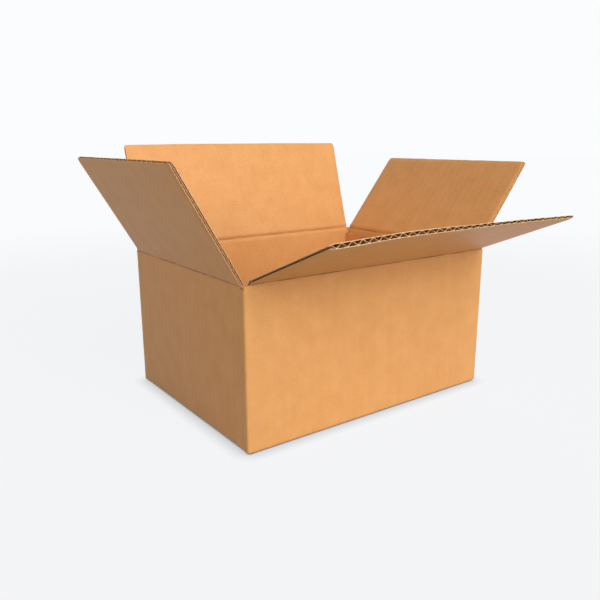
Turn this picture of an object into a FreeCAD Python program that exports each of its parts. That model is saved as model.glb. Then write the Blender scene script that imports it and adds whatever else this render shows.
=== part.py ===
"""Open cardboard box: a regular slotted carton of single-wall corrugated board.

The carton is one slotted and creased sheet. Its four walls, glue tab and glued bottom
flaps are the solid carton_body, and each of the four top flaps is a solid of its own
that turns on the crease at the top of its wall. Millimetres, +Z up. The origin is in
the middle of the base, on the floor. X runs along the long walls, and the front long
wall is on the -Y side.
"""
import FreeCAD, Part
import os
import re

import Sketcher

DRIVING_SIZES = [
    # alias, value, what it is
    ("box_length", 200.0, "outside length of the carton, along X"),
    ("box_width", 150.0, "outside width of the carton, along Y"),
    ("wall_height", 100.0, "height of the wall corners, where the slots end"),
    ("board", 2.8, "thickness of the corrugated board"),
    ("liner", 0.3, "thickness of each facing paper"),
    ("medium", 0.25, "thickness of the fluted paper"),
    ("flute_pitch", 6.5, "distance from one flute to the next"),
    ("crest_contact", 1.1, "width of the glued crest of a flute on a facing"),
    ("channel_crown", 1.7, "width of the rounded crown of a flute channel"),
    ("crown_radius", 1.3, "radius of the crown of a flute channel"),
    ("slot_setback", 3.75, "side of a flap to the carton's corner, half a slot"),
    ("centre_gap", 0.6, "gap between the two long flaps where they meet"),
    ("short_flap", 76.8, "length of the short flaps from their crease"),
    ("lay_clearance", 0.15, "clearance between two flaps that lie on each other"),
    ("crease_gap", 0.2, "clearance on each side of a top crease line"),
    ("crushed_band", 1.5, "board pressed flat between a crease bevel and the flutes"),
    ("corner_radius", 1.5, "outside radius of the upright folded corners"),
    ("bend_radius", 2.0, "outside radius of the bottom folds"),
    ("fold_height", 1.0, "bottom folds of the short walls above the floor"),
    ("tab_width", 22.0, "width of the glue tab from the inside corner"),
    ("tab_board", 2.4, "thickness of the glue tab, pressed by its glue line"),
    ("tab_drop", 0.15, "top of the tab below a closed short flap"),
    ("tab_rise", 1.0, "bottom of the tab above the bottom short flap"),
    ("tab_slant", 1.2, "fall of the tab's ends from its fold to its free edge"),
    ("tab_corner", 3.0, "radius of the tab's free corners"),
    ("seam_mouth", 1.2, "width of the groove where the raw wall edge meets the fold"),
    ("seam_depth", 1.4, "depth of that groove"),
    ("angle_front", 68.4, "lean of the front flap outwards from upright, degrees"),
    ("angle_back", 16.5, "lean of the back flap outwards from upright, degrees"),
    ("angle_left", 29.8, "lean of the left flap outwards from upright, degrees"),
    ("angle_right", 38.4, "lean of the right flap outwards from upright, degrees"),
]
ALIASES = [alias for alias, value, meaning in DRIVING_SIZES]

# Lengths that follow from the driving sizes.
LONG_FLAP = "(box_width - centre_gap) / 2"
LONG_FLAP_SPAN = "(box_length - 2 * slot_setback)"
SHORT_FLAP_SPAN = "(box_width - 2 * slot_setback)"
LAYER = "(board + lay_clearance)"
LONG_CREASE = f"(wall_height + {LAYER} / 2)"
SHORT_CREASE = f"(wall_height - {LAYER} / 2)"
WALL_TOP = f"({LONG_CREASE} - crease_gap)"
TAB_TOP = f"({SHORT_CREASE} - board - tab_drop)"
TAB_BOTTOM = f"({LAYER} + board + tab_rise)"

os.makedirs("parts", exist_ok=True)
doc = FreeCAD.newDocument("open_carton")
sheet = doc.addObject("Spreadsheet::Sheet", "Sizes")
for row, (alias, value, meaning) in enumerate(DRIVING_SIZES, start=1):
    sheet.set(f"A{row}", meaning)
    sheet.set(f"B{row}", str(value))
    sheet.setAlias(f"B{row}", alias)
doc.recompute()


def cells(formula):
    """Return a formula with each size name pointed at its cell of the sheet."""
    return re.sub(r"[a-z_]+", lambda found: cell_name(found.group()), formula)


def cell_name(word):
    """Return the sheet's own name for a size, and any other word as it is."""
    return f"Sizes.{word}" if word in ALIASES else word


def value_of(formula):
    """Work out a formula of sizes as a number, for a sketch's first drawing."""
    return float(sheet.evalExpression(cells(formula)))


def new_body(label):
    """Add a body named after its piece."""
    body = doc.addObject("PartDesign::Body", label)
    body.Label = label
    return body


def origin_feature(body, role):
    """Return one of the body's own origin planes or axes."""
    return next(item for item in body.Origin.OriginFeatures if item.Role == role)


def new_sketch(body, name, role, offset="0"):
    """Add a sketch on an origin plane of the body, moved along the plane's normal."""
    sketch = body.newObject("Sketcher::SketchObject", name)
    sketch.AttachmentSupport = [(origin_feature(body, role), "")]
    sketch.MapMode = "FlatFace"
    sketch.setExpression("AttachmentOffset.Base.z", cells(offset))
    return sketch


def pin_point(sketch, index, end, across, along):
    """Hold one end of a sketch line at two formulas measured from the origin."""
    for kind, formula in (("DistanceX", across), ("DistanceY", along)):
        rule = Sketcher.Constraint(kind, -1, 1, index, end, value_of(formula))
        sketch.setExpression(f"Constraints[{sketch.addConstraint(rule)}]", cells(formula))


def draw_outline(sketch, corners, arc_after=None, arc_radius=None, arc_side=1):
    """Draw a closed outline through the corners, each a pair of formulas.

    The edge that leaves corner number arc_after is an arc of arc_radius, and all the
    others are straight. arc_side is 1 where the arc turns the same way round as the
    corners do when they run anticlockwise, and -1 where it turns the other way.
    """
    points = [FreeCAD.Vector(value_of(u), value_of(v), 0) for u, v in corners]
    first = sketch.GeometryCount
    count = len(corners)
    for number, start in enumerate(points):
        stop = points[(number + 1) % count]
        if number == arc_after:
            edge = arc_between(start, stop, value_of(arc_radius), arc_side)
        else:
            edge = Part.LineSegment(start, stop)
        sketch.addGeometry(edge, False)
    arc_turns_back = arc_after is not None and arc_side < 0
    for number in range(count):
        here = first + number
        onward = first + (number + 1) % count
        # A clockwise arc is stored anticlockwise, so its two ends change places.
        end = 1 if arc_turns_back and number == arc_after else 2
        start = 2 if arc_turns_back and (number + 1) % count == arc_after else 1
        sketch.addConstraint(Sketcher.Constraint("Coincident", here, end, onward, start))
    for number, (across, along) in enumerate(corners):
        start = 2 if arc_turns_back and number == arc_after else 1
        pin_point(sketch, first + number, start, across, along)
    if arc_after is not None:
        rule = Sketcher.Constraint("Radius", first + arc_after, value_of(arc_radius))
        place = sketch.addConstraint(rule)
        sketch.setExpression(f"Constraints[{place}]", cells(arc_radius))


def arc_between(start, stop, radius, side):
    """Return the short arc of a radius from one point to another."""
    chord = stop - start
    middle = start + chord * 0.5
    normal = FreeCAD.Vector(-chord.y, chord.x, 0).normalize()
    rise = (radius ** 2 - (chord.Length / 2) ** 2) ** 0.5
    crown = middle - normal * side * (radius - rise)
    return Part.Arc(start, crown, stop)


def feature(body, kind, name, sketch, length, symmetric=False, reverse=False):
    """Pad or pocket a sketch by a length, on both sides of its plane if symmetric."""
    made = body.newObject(kind, name)
    made.Profile = sketch
    made.setExpression("Length", cells(length))
    made.SideType = "Symmetric" if symmetric else "One side"
    made.Reversed = reverse
    sketch.Visibility = False
    body.Tip = made
    doc.recompute()
    return made


def mirror(body, name, original, role):
    """Repeat a feature on the other side of one of the body's origin planes."""
    made = body.newObject("PartDesign::Mirrored", name)
    made.Originals = [original]
    made.MirrorPlane = (origin_feature(body, role), [""])
    body.Tip = made
    doc.recompute()
    return made


def round_edges(body, name, radius, wanted):
    """Round the edges of the body's last feature that the wanted test picks."""
    base = body.Tip
    names = [f"Edge{n}" for n, edge in enumerate(base.Shape.Edges, start=1) if wanted(edge)]
    made = body.newObject("PartDesign::Fillet", name)
    made.Base = (base, names)
    made.setExpression("Radius", cells(radius))
    body.Tip = made
    doc.recompute()
    return made


def near(first, second):
    """Tell whether two lengths are the same to a hundredth of a millimetre."""
    return abs(first - second) < 0.01


def add_walls(body):
    """Pad the four walls as one ring and round its three folded corners."""
    plan = new_sketch(body, "wall_plan", "XY_Plane", "fold_height")
    for inset in ("0", "board"):
        half_length = f"(box_length / 2 - {inset})"
        half_width = f"(box_width / 2 - {inset})"
        draw_outline(plan, [
            (f"-{half_length}", f"-{half_width}"),
            (half_length, f"-{half_width}"),
            (half_length, half_width),
            (f"-{half_length}", half_width),
        ])
    feature(body, "PartDesign::Pad", "walls", plan, f"{WALL_TOP} - fold_height")
    side = value_of("box_length / 2")
    front = value_of("box_width / 2")

    def folded_corner(edge):
        """Pick the outside upright corners, apart from the one with the raw edge."""
        box = edge.BoundBox
        upright = near(box.XLength, 0) and near(box.YLength, 0)
        outside = near(abs(box.XMin), side) and near(abs(box.YMin), front)
        raw_corner = box.XMin > 0 and box.YMin > 0
        return upright and outside and not raw_corner

    round_edges(body, "upright_folds", "corner_radius", folded_corner)


def cut_wall_tops(body):
    """Lower the wall corners to the slots and bevel each wall below its crease."""
    corners = new_sketch(body, "corner_plan", "XY_Plane", "wall_height")
    for x_side in (-1, 1):
        for y_side in (-1, 1):
            near_x = f"{x_side} * (box_length / 2 - slot_setback)"
            near_y = f"{y_side} * (box_width / 2 - slot_setback)"
            far_x = f"{x_side} * box_length / 2"
            far_y = f"{y_side} * box_width / 2"
            draw_outline(corners, [
                (near_x, near_y), (far_x, near_y), (far_x, far_y), (near_x, far_y),
            ])
    feature(body, "PartDesign::Pocket", "slot_ends", corners, LAYER, reverse=True)

    long_lip = new_sketch(body, "long_lip_profile", "YZ_Plane")
    draw_outline(long_lip, [
        ("-box_width / 2", WALL_TOP),
        ("-box_width / 2 + board", f"{WALL_TOP} - board"),
        ("-box_width / 2 + board", WALL_TOP),
    ])
    front_bevel = feature(body, "PartDesign::Pocket", "front_crease_bevel", long_lip,
                          LONG_FLAP_SPAN, symmetric=True)
    mirror(body, "back_crease_bevel", front_bevel, "XZ_Plane")

    short_lip = new_sketch(body, "short_lip_profile", "XZ_Plane")
    draw_outline(short_lip, [
        ("-box_length / 2", f"{SHORT_CREASE} - crease_gap"),
        ("-box_length / 2 + board", f"{SHORT_CREASE} - crease_gap - board"),
        ("-box_length / 2 + board", WALL_TOP),
        ("-box_length / 2", WALL_TOP),
    ])
    left_bevel = feature(body, "PartDesign::Pocket", "left_crease_bevel", short_lip,
                         SHORT_FLAP_SPAN, symmetric=True)
    mirror(body, "right_crease_bevel", left_bevel, "YZ_Plane")


def add_bottom_flaps(body):
    """Fold the short bottom flaps in first and the long ones under them."""
    long_flap = new_sketch(body, "long_bottom_profile", "YZ_Plane")
    draw_outline(long_flap, [
        ("-box_width / 2", "bend_radius"),
        ("-box_width / 2 + bend_radius", "0"),
        ("-centre_gap / 2", "0"),
        ("-centre_gap / 2", "board"),
        ("-box_width / 2 + board", "board"),
        ("-box_width / 2 + board", LAYER),
        ("-box_width / 2", LAYER),
    ], arc_after=0, arc_radius="bend_radius")
    front = feature(body, "PartDesign::Pad", "front_bottom_flap", long_flap,
                    LONG_FLAP_SPAN, symmetric=True)
    mirror(body, "back_bottom_flap", front, "XZ_Plane")

    short_flap = new_sketch(body, "short_bottom_profile", "XZ_Plane")
    draw_outline(short_flap, [
        ("-box_length / 2 + board", LAYER),
        ("-box_length / 2 + short_flap", LAYER),
        ("-box_length / 2 + short_flap", f"{LAYER} + board"),
        ("-box_length / 2 + board", f"{LAYER} + board"),
    ])
    left = feature(body, "PartDesign::Pad", "left_bottom_flap", short_flap,
                   SHORT_FLAP_SPAN, symmetric=True)
    mirror(body, "right_bottom_flap", left, "YZ_Plane")

    short_fold = new_sketch(body, "short_fold_profile", "XZ_Plane")
    draw_outline(short_fold, [
        ("-box_length / 2", "fold_height"),
        ("-box_length / 2 + bend_radius", "fold_height"),
        ("-box_length / 2", "fold_height + bend_radius"),
    ], arc_after=1, arc_radius="bend_radius", arc_side=-1)
    left_fold = feature(body, "PartDesign::Pocket", "left_bottom_fold", short_fold,
                        SHORT_FLAP_SPAN, symmetric=True)
    mirror(body, "right_bottom_fold", left_fold, "YZ_Plane")


def add_glue_tab(body):
    """Lay the glue tab of the back wall on the inside of the right wall."""
    outline = new_sketch(body, "tab_outline", "YZ_Plane", "box_length / 2 - board")
    fold = "(box_width / 2 - board)"
    draw_outline(outline, [
        (fold, TAB_BOTTOM),
        (fold, TAB_TOP),
        (f"{fold} - tab_width", f"{TAB_TOP} - tab_slant"),
        (f"{fold} - tab_width", f"{TAB_BOTTOM} + tab_slant"),
    ])
    feature(body, "PartDesign::Pad", "glue_tab", outline, "tab_board", reverse=True)
    free_edge = value_of(f"{fold} - tab_width")
    thickness = value_of("tab_board")

    def tab_corner(edge):
        """Pick the two short edges at the free corners of the tab."""
        box = edge.BoundBox
        across_board = near(box.XLength, thickness) and near(box.ZLength, 0)
        return across_board and near(box.YMin, free_edge)

    round_edges(body, "tab_corners", "tab_corner", tab_corner)


def cut_joint_seam(body):
    """Groove the back where the right wall's raw edge stands beside the tab's fold."""
    plan = new_sketch(body, "seam_plan", "XY_Plane", "fold_height")
    seam = "(box_length / 2 - board)"
    draw_outline(plan, [
        (f"{seam} - seam_mouth / 2", "box_width / 2"),
        (seam, "box_width / 2 - seam_depth"),
        (f"{seam} + seam_mouth / 2", "box_width / 2"),
    ])
    feature(body, "PartDesign::Pocket", "joint_seam", plan,
            "wall_height - fold_height", reverse=True)


def make_carton_body():
    """Make the walls, bottom flaps and glue tab as one folded sheet."""
    body = new_body("carton_body")
    add_walls(body)
    cut_wall_tops(body)
    add_bottom_flaps(body)
    add_glue_tab(body)
    cut_joint_seam(body)
    return body


def cut_flutes(body, span, reach):
    """Run the flute channels in from the free edge, open there and blind at the crease.

    One channel stands on the outside facing and its neighbour hangs from the inside
    facing, half a pitch on. The fluted paper is what is left between the two.
    """
    copies = f"ceil({span} / flute_pitch)"
    first = f"(({copies} - 1) * -flute_pitch / 2)"
    half_base = "(flute_pitch - crest_contact) / 2"
    crown_top = "(board - liner - medium)"
    sag = "(crown_radius - sqrt(crown_radius ^ 2 - (channel_crown / 2) ^ 2))"
    section = new_sketch(body, "flute_section", "XY_Plane", reach)
    draw_outline(section, [
        (f"{first} - {half_base}", "liner"),
        (f"{first} + {half_base}", "liner"),
        (f"{first} + channel_crown / 2", f"{crown_top} - {sag}"),
        (f"{first} - channel_crown / 2", f"{crown_top} - {sag}"),
    ], arc_after=2, arc_radius="crown_radius")
    middle = f"({first} + flute_pitch / 2)"
    draw_outline(section, [
        (f"{middle} + {half_base}", "board - liner"),
        (f"{middle} - {half_base}", "board - liner"),
        (f"{middle} - channel_crown / 2", f"board - {crown_top} + {sag}"),
        (f"{middle} + channel_crown / 2", f"board - {crown_top} + {sag}"),
    ], arc_after=2, arc_radius="crown_radius")
    channel = feature(body, "PartDesign::Pocket", "flute_channel", section,
                      f"{reach} - crease_gap - board - crushed_band")
    row = body.newObject("PartDesign::LinearPattern", "flutes")
    row.Originals = [channel]
    row.Direction = (origin_feature(body, "X_Axis"), [""])
    row.Mode = "Spacing"
    row.setExpression("Offset", cells("flute_pitch"))
    row.setExpression("Occurrences", cells(copies))
    body.Tip = row
    doc.recompute()


def make_flap(label, span, reach, lean, turn, crease_point):
    """Make one top flap, with its crease line on the local X axis.

    In the flap's own frame it stands upright, its outside facing at Y = 0 and its
    inside facing at Y = board. Its lean tips it outwards about the crease line, and
    its turn about Z brings it round to its wall.
    """
    body = new_body(label)
    side = new_sketch(body, "side_profile", "YZ_Plane")
    draw_outline(side, [
        ("0", "crease_gap"),
        ("board", "board + crease_gap"),
        ("board", reach),
        ("0", reach),
    ])
    feature(body, "PartDesign::Pad", "flap_board", side, span, symmetric=True)
    cut_flutes(body, span, reach)
    across, along, height = (cells(formula) for formula in crease_point)
    body.setExpression("Placement", f"placement(vector({across}; {along}; {height}); "
                                    f"rotation({turn}; 0; {cells(lean)}))")
    doc.recompute()
    return body


def check_and_export(bodies):
    """Stop on any failed object or bad solid, and otherwise write the STEP files."""
    for item in doc.Objects:
        if "Invalid" in item.State or "Error" in item.State:
            raise RuntimeError(f"{item.Label} failed: {item.State}")
    for body in bodies:
        shape = body.Shape
        if shape.isNull() or not shape.isValid() or len(shape.Solids) != 1:
            raise RuntimeError(f"{body.Label} isn't one valid solid")
    for body in bodies:
        body.Shape.exportStep(f"parts/{body.Label}.step")
        box = body.Shape.BoundBox
        print(f"{body.Label}: {body.Shape.Volume:.0f} mm3, "
              f"x {box.XMin:.1f} to {box.XMax:.1f}, y {box.YMin:.1f} to {box.YMax:.1f}, "
              f"z {box.ZMin:.1f} to {box.ZMax:.1f}")


pieces = [
    make_carton_body(),
    make_flap("front_flap", LONG_FLAP_SPAN, LONG_FLAP, "angle_front", 0,
              ("0", "-box_width / 2", LONG_CREASE)),
    make_flap("right_flap", SHORT_FLAP_SPAN, "short_flap", "angle_right", 90,
              ("box_length / 2", "0", SHORT_CREASE)),
    make_flap("back_flap", LONG_FLAP_SPAN, LONG_FLAP, "angle_back", 180,
              ("0", "box_width / 2", LONG_CREASE)),
    make_flap("left_flap", SHORT_FLAP_SPAN, "short_flap", "angle_left", 270,
              ("-box_length / 2", "0", SHORT_CREASE)),
]
check_and_export(pieces)
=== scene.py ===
"""Open cardboard box: the looks of a regular slotted carton with its top flaps open.

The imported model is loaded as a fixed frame, and its plain solids are replaced by
corrugated board: two kraft liners with a fluted paper between them. Every top flap is
one sheet with the strip of wall below its crease, so that it bends there. Sizes are
written in millimetres and turned to metres where a mesh is made.
"""
import logging
import math
import random
from collections.abc import Callable, Iterator, Sequence
from contextlib import contextmanager
from dataclasses import dataclass, field
from enum import Enum

import bmesh
import bpy
from mathutils import Matrix, Vector


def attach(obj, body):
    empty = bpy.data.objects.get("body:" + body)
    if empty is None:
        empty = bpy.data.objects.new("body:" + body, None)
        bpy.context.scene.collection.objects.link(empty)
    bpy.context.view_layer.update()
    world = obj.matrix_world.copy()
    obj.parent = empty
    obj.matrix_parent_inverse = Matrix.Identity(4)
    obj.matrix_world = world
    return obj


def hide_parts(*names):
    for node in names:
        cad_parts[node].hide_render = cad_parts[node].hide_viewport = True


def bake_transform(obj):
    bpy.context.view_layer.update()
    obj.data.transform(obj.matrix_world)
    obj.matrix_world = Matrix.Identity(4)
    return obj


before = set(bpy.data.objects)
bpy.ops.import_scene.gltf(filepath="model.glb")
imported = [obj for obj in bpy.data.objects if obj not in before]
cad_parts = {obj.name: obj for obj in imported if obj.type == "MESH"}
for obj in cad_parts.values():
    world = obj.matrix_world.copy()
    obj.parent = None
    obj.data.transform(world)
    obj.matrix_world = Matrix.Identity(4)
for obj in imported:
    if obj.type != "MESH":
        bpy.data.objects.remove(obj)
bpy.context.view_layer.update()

MM = 0.001
LOG = logging.getLogger("open_carton")

LENGTH = 200.0
WIDTH = 150.0
WALL = 100.0
BOARD = 2.8
LINER = 0.3
FLUTING = 0.25
PITCH = 6.5
SLOT = 3.75
CENTRE_GAP = 0.6
LAYER = 2.95
FOLD_HEIGHT = 1.0
SHORT_REACH = 76.8
LONG_REACH = (WIDTH - CENTRE_GAP) / 2
LONG_SPAN = LENGTH - 2 * SLOT
SHORT_SPAN = WIDTH - 2 * SLOT
LONG_CREASE = WALL + LAYER / 2
SHORT_CREASE = WALL - LAYER / 2
# The strip of wall that belongs to a flap's own sheet, measured down from the crease.
STRIP = 4.0
# The name of the attribute that keeps each point's place on the flat, uncreased sheet.
SHEET_PLACE = "sheet_place"
# Two lengths that differ by less than this are the same, in millimetres.
SAME = 0.02
# A face with this share of its normal along an axis faces that way.
FACING = 0.9
# Folds sharper than this stay sharp in the shading, in degrees.
SHARP = 32.0


class Side(Enum):
    """A side of the carton, with the place of its wall and the sizes of its flaps."""

    FRONT = ("front", 0.0, WIDTH / 2, 450.0, LONG_CREASE, LONG_SPAN, LONG_REACH)
    RIGHT = ("right", 90.0, LENGTH / 2, 625.0, SHORT_CREASE, SHORT_SPAN, SHORT_REACH)
    BACK = ("back", 180.0, WIDTH / 2, 100.0, LONG_CREASE, LONG_SPAN, LONG_REACH)
    LEFT = ("left", 270.0, LENGTH / 2, 275.0, SHORT_CREASE, SHORT_SPAN, SHORT_REACH)

    def __init__(self, body: str, turn: float, out: float, unrolled: float,
                 crease: float, span: float, reach: float) -> None:
        """Keep the facts of one side: lengths in mm, and its turn about Z in degrees."""
        self.body = body
        self.turn = turn
        self.out = out
        self.unrolled = unrolled
        self.crease = crease
        self.span = span
        self.reach = reach

    def outward(self) -> Vector:
        """Return the level direction that this side's wall faces."""
        angle = math.radians(self.turn)
        return Vector((math.sin(angle), -math.cos(angle), 0.0))

    def crease_point(self, drop: float = 0.0) -> Vector:
        """Return the middle of the crease in metres, or a point that far below it."""
        level = self.outward() * self.out
        return Vector((level.x, level.y, self.crease - drop)) * MM


def clear_selection() -> None:
    """Leave edit mode and deselect every object, the CAD nodes too."""
    if bpy.context.object and bpy.context.object.mode != "OBJECT":
        bpy.ops.object.mode_set(mode="OBJECT")
    bpy.ops.object.select_all(action="DESELECT")


def choose(*objects: bpy.types.Object) -> None:
    """Select some objects alone and make the first of them active."""
    clear_selection()
    for chosen in objects:
        chosen.select_set(True)
    bpy.context.view_layer.objects.active = objects[0]


@contextmanager
def shaping(piece: bpy.types.Object) -> Iterator[None]:
    """Open one piece in edit mode with all of it selected, and close it afterwards.

    Args:
        piece: The mesh object to shape.
    """
    choose(piece)
    bpy.ops.object.mode_set(mode="EDIT")
    bpy.ops.mesh.select_mode(type="VERT")
    bpy.ops.mesh.select_all(action="SELECT")
    yield
    bpy.ops.object.mode_set(mode="OBJECT")


def pick(kind: str, wanted: Callable[..., bool]) -> None:
    """Select the elements of the open mesh that a test wants, and nothing else.

    Args:
        kind: VERT, EDGE or FACE.
        wanted: The test, which is given one element.
    """
    bpy.ops.mesh.select_mode(type=kind)
    bpy.ops.mesh.select_all(action="DESELECT")
    mesh = bpy.context.edit_object.data
    net = bmesh.from_edit_mesh(mesh)
    elements = {"VERT": net.verts, "EDGE": net.edges, "FACE": net.faces}[kind]
    for element in elements:
        if wanted(element):
            element.select_set(True)
    net.select_flush_mode()
    bmesh.update_edit_mesh(mesh)


def near(first: float, second: float) -> bool:
    """Tell whether two lengths in millimetres are the same."""
    return abs(first - second) < SAME


def turn_selection(degrees: float, axis: str) -> None:
    """Turn the selection anticlockwise about an axis through the origin."""
    # Without a window the operator turns clockwise, so the angle changes its sign.
    bpy.ops.transform.rotate(value=-math.radians(degrees), orient_axis=axis,
                             center_override=(0.0, 0.0, 0.0))


def move_selection(x: float = 0.0, y: float = 0.0) -> None:
    """Move the selection by millimetres."""
    bpy.ops.transform.translate(value=(x * MM, y * MM, 0.0))


def extrude(height: float) -> None:
    """Extrude the selection along Z by millimetres."""
    bpy.ops.mesh.extrude_region_move(
        TRANSFORM_OT_translate={"value": (0.0, 0.0, height * MM)})


def saw(point: Sequence[float], towards: Sequence[float], waste: bool = True) -> None:
    """Saw the open mesh along a plane.

    Args:
        point: A point of the plane, in millimetres.
        towards: The plane's normal, on the side where the waste lies.
        waste: Whether that side is taken off and the cut closed, or both sides stay.
    """
    bpy.ops.mesh.select_mode(type="VERT")
    bpy.ops.mesh.select_all(action="SELECT")
    bpy.ops.mesh.bisect(plane_co=tuple(Vector(point) * MM), plane_no=tuple(towards),
                        use_fill=waste, clear_outer=waste, threshold=0.001 * MM)


def apply_modifier(piece: bpy.types.Object, kind: str, **settings: object) -> None:
    """Give a piece one modifier and apply it at once.

    Args:
        piece: The mesh object.
        kind: The type of modifier.
        settings: The modifier's own settings by name.
    """
    choose(piece)
    modifier = piece.modifiers.new(kind.lower(), kind)
    for name, value in settings.items():
        setattr(modifier, name, value)
    bpy.ops.object.modifier_apply(modifier=modifier.name)


def join(name: str, *pieces: bpy.types.Object) -> bpy.types.Object:
    """Join pieces to the first one and name it."""
    choose(*pieces)
    bpy.ops.object.join()
    joined = bpy.context.object
    joined.name = name
    joined.data.name = name
    return joined


def settle(piece: bpy.types.Object, turn: float = 0.0,
           place: Sequence[float] = (0.0, 0.0, 0.0)) -> None:
    """Turn a piece about Z, set it at a place in metres and apply both to its mesh."""
    choose(piece)
    piece.rotation_euler = (0.0, 0.0, math.radians(turn))
    piece.location = place
    bpy.ops.object.transform_apply(location=True, rotation=True, scale=True)


def bend(piece: bpy.types.Object, box: Matrix, table: Sequence[Sequence[float]],
         depth_of: Callable[[float, float], float], group: str = "") -> None:
    """Bend a piece smoothly in its depth, with a lattice that is two points thick.

    Args:
        piece: The mesh object.
        box: The matrix that takes a unit cube to where the lattice lies.
        table: The lattice's values, by rows along Z and by columns along X.
        depth_of: Gives a point's new depth from its old one and its value. Depth runs
            from -0.5 outside to 0.5 inside.
        group: The vertex group that bends, or nothing where the whole piece does.
    """
    columns = len(table[0])
    clear_selection()
    bpy.ops.object.add(type="LATTICE")
    cage = bpy.context.object
    cage.data.points_u = columns
    cage.data.points_v = 2
    cage.data.points_w = len(table)
    cage.data.interpolation_type_u = "KEY_CATMULL_ROM"
    cage.data.interpolation_type_v = "KEY_LINEAR"
    cage.data.interpolation_type_w = "KEY_CATMULL_ROM"
    cage.matrix_world = box
    for number, point in enumerate(cage.data.points):
        value = table[number // (columns * 2)][number % columns]
        point.co_deform.y = depth_of(point.co_deform.y, value)
    apply_modifier(piece, "LATTICE", object=cage, vertex_group=group)
    bpy.data.objects.remove(cage)


def finish_surface(piece: bpy.types.Object) -> None:
    """Merge doubles, point the faces outwards and smooth all but the sharp folds."""
    with shaping(piece):
        bpy.ops.mesh.remove_doubles(threshold=0.004 * MM)
        bpy.ops.mesh.normals_make_consistent(inside=False)
    choose(piece)
    bpy.ops.object.shade_smooth_by_angle(angle=math.radians(SHARP))
    LOG.info("%s: %d faces", piece.name, len(piece.data.polygons))


def fix_to_carton(piece: bpy.types.Object) -> None:
    """Finish a piece of the carton's body and let it take the plain solid's place."""
    finish_surface(piece)
    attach(piece, "carton")
    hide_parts("carton_body")


def add_node(tree: bpy.types.NodeTree, kind: str, values: dict | None = None,
             links: dict | None = None, **settings: object) -> bpy.types.Node:
    """Add one node to a tree.

    Args:
        tree: The node tree.
        kind: The node's type name.
        values: Input values by socket name or number.
        links: Sockets that feed the inputs, by socket name or number.
        settings: The node's own settings by name.

    Returns:
        The new node.
    """
    node = tree.nodes.new(kind)
    for name, value in settings.items():
        setattr(node, name, value)
    for name, value in (values or {}).items():
        node.inputs[name].default_value = value
    for name, socket in (links or {}).items():
        tree.links.new(socket, node.inputs[name])
    return node


def linear(code: str) -> tuple[float, float, float, float]:
    """Turn an sRGB hex colour to the linear colour that the nodes use."""
    parts = [int(code[n:n + 2], 16) / 255 for n in (1, 3, 5)]
    red, green, blue = [p / 12.92 if p <= 0.04045 else ((p + 0.055) / 1.055) ** 2.4
                        for p in parts]
    return (red, green, blue, 1.0)


def new_material(name: str) -> tuple[bpy.types.Material, bpy.types.NodeTree]:
    """Return a new material and its empty node tree."""
    material = bpy.data.materials.new(name)
    material.use_nodes = True
    material.node_tree.nodes.clear()
    return material, material.node_tree


def close_paper(tree: bpy.types.NodeTree, colour: bpy.types.NodeSocket,
                height: bpy.types.NodeSocket, values: dict[str, float]) -> None:
    """Close a paper's node tree with its relief and its shader.

    Args:
        tree: The material's node tree.
        colour: The socket of its colour.
        height: The socket of its relief, in metres.
        values: The shader's own values by socket name.
    """
    bump = add_node(tree, "ShaderNodeBump", links={"Height": height},
                    values={"Strength": 1.0, "Distance": 1.0})
    shader = add_node(tree, "ShaderNodeBsdfPrincipled", links={
        "Base Color": colour, "Normal": bump.outputs[0]}, values=values)
    add_node(tree, "ShaderNodeOutputMaterial", links={"Surface": shader.outputs[0]})


def seen_rays(tree: bpy.types.NodeTree) -> bpy.types.NodeSocket:
    """Return the socket that is 1 for camera, glossy and transmission rays, and else 0."""
    rays = add_node(tree, "ShaderNodeLightPath")
    seen = rays.outputs["Is Camera Ray"]
    for kind in ("Is Glossy Ray", "Is Transmission Ray"):
        seen = add_node(tree, "ShaderNodeMath", operation="MAXIMUM", links={
            0: seen, 1: rays.outputs[kind]}).outputs[0]
    return seen


@dataclass(frozen=True)
class Mottle:
    """One random pattern in paper: the size of its blobs in mm, and the tones it gives."""

    along: float
    across: float
    detail: float
    low: float
    high: float
    first: float
    last: float

    def draw(self, tree: bpy.types.NodeTree, sheet: bpy.types.NodeSocket
             ) -> bpy.types.NodeSocket:
        """Draw the pattern on the sheet.

        Args:
            tree: The material's node tree.
            sheet: The place on the sheet, in metres.

        Returns:
            The socket of the tone, from first where the noise is low to last.
        """
        sizes = (self.along, self.across, self.across)
        scaled = add_node(tree, "ShaderNodeVectorMath", operation="MULTIPLY", links={
            0: sheet}, values={1: tuple(1 / (size * MM) for size in sizes)})
        blobs = add_node(tree, "ShaderNodeTexNoise", links={"Vector": scaled.outputs[0]},
                         values={"Scale": 1.0, "Detail": self.detail})
        return add_node(tree, "ShaderNodeMapRange", links={0: blobs.outputs[0]}, values={
            1: self.low, 2: self.high, 3: self.first, 4: self.last}).outputs[0]


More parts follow.
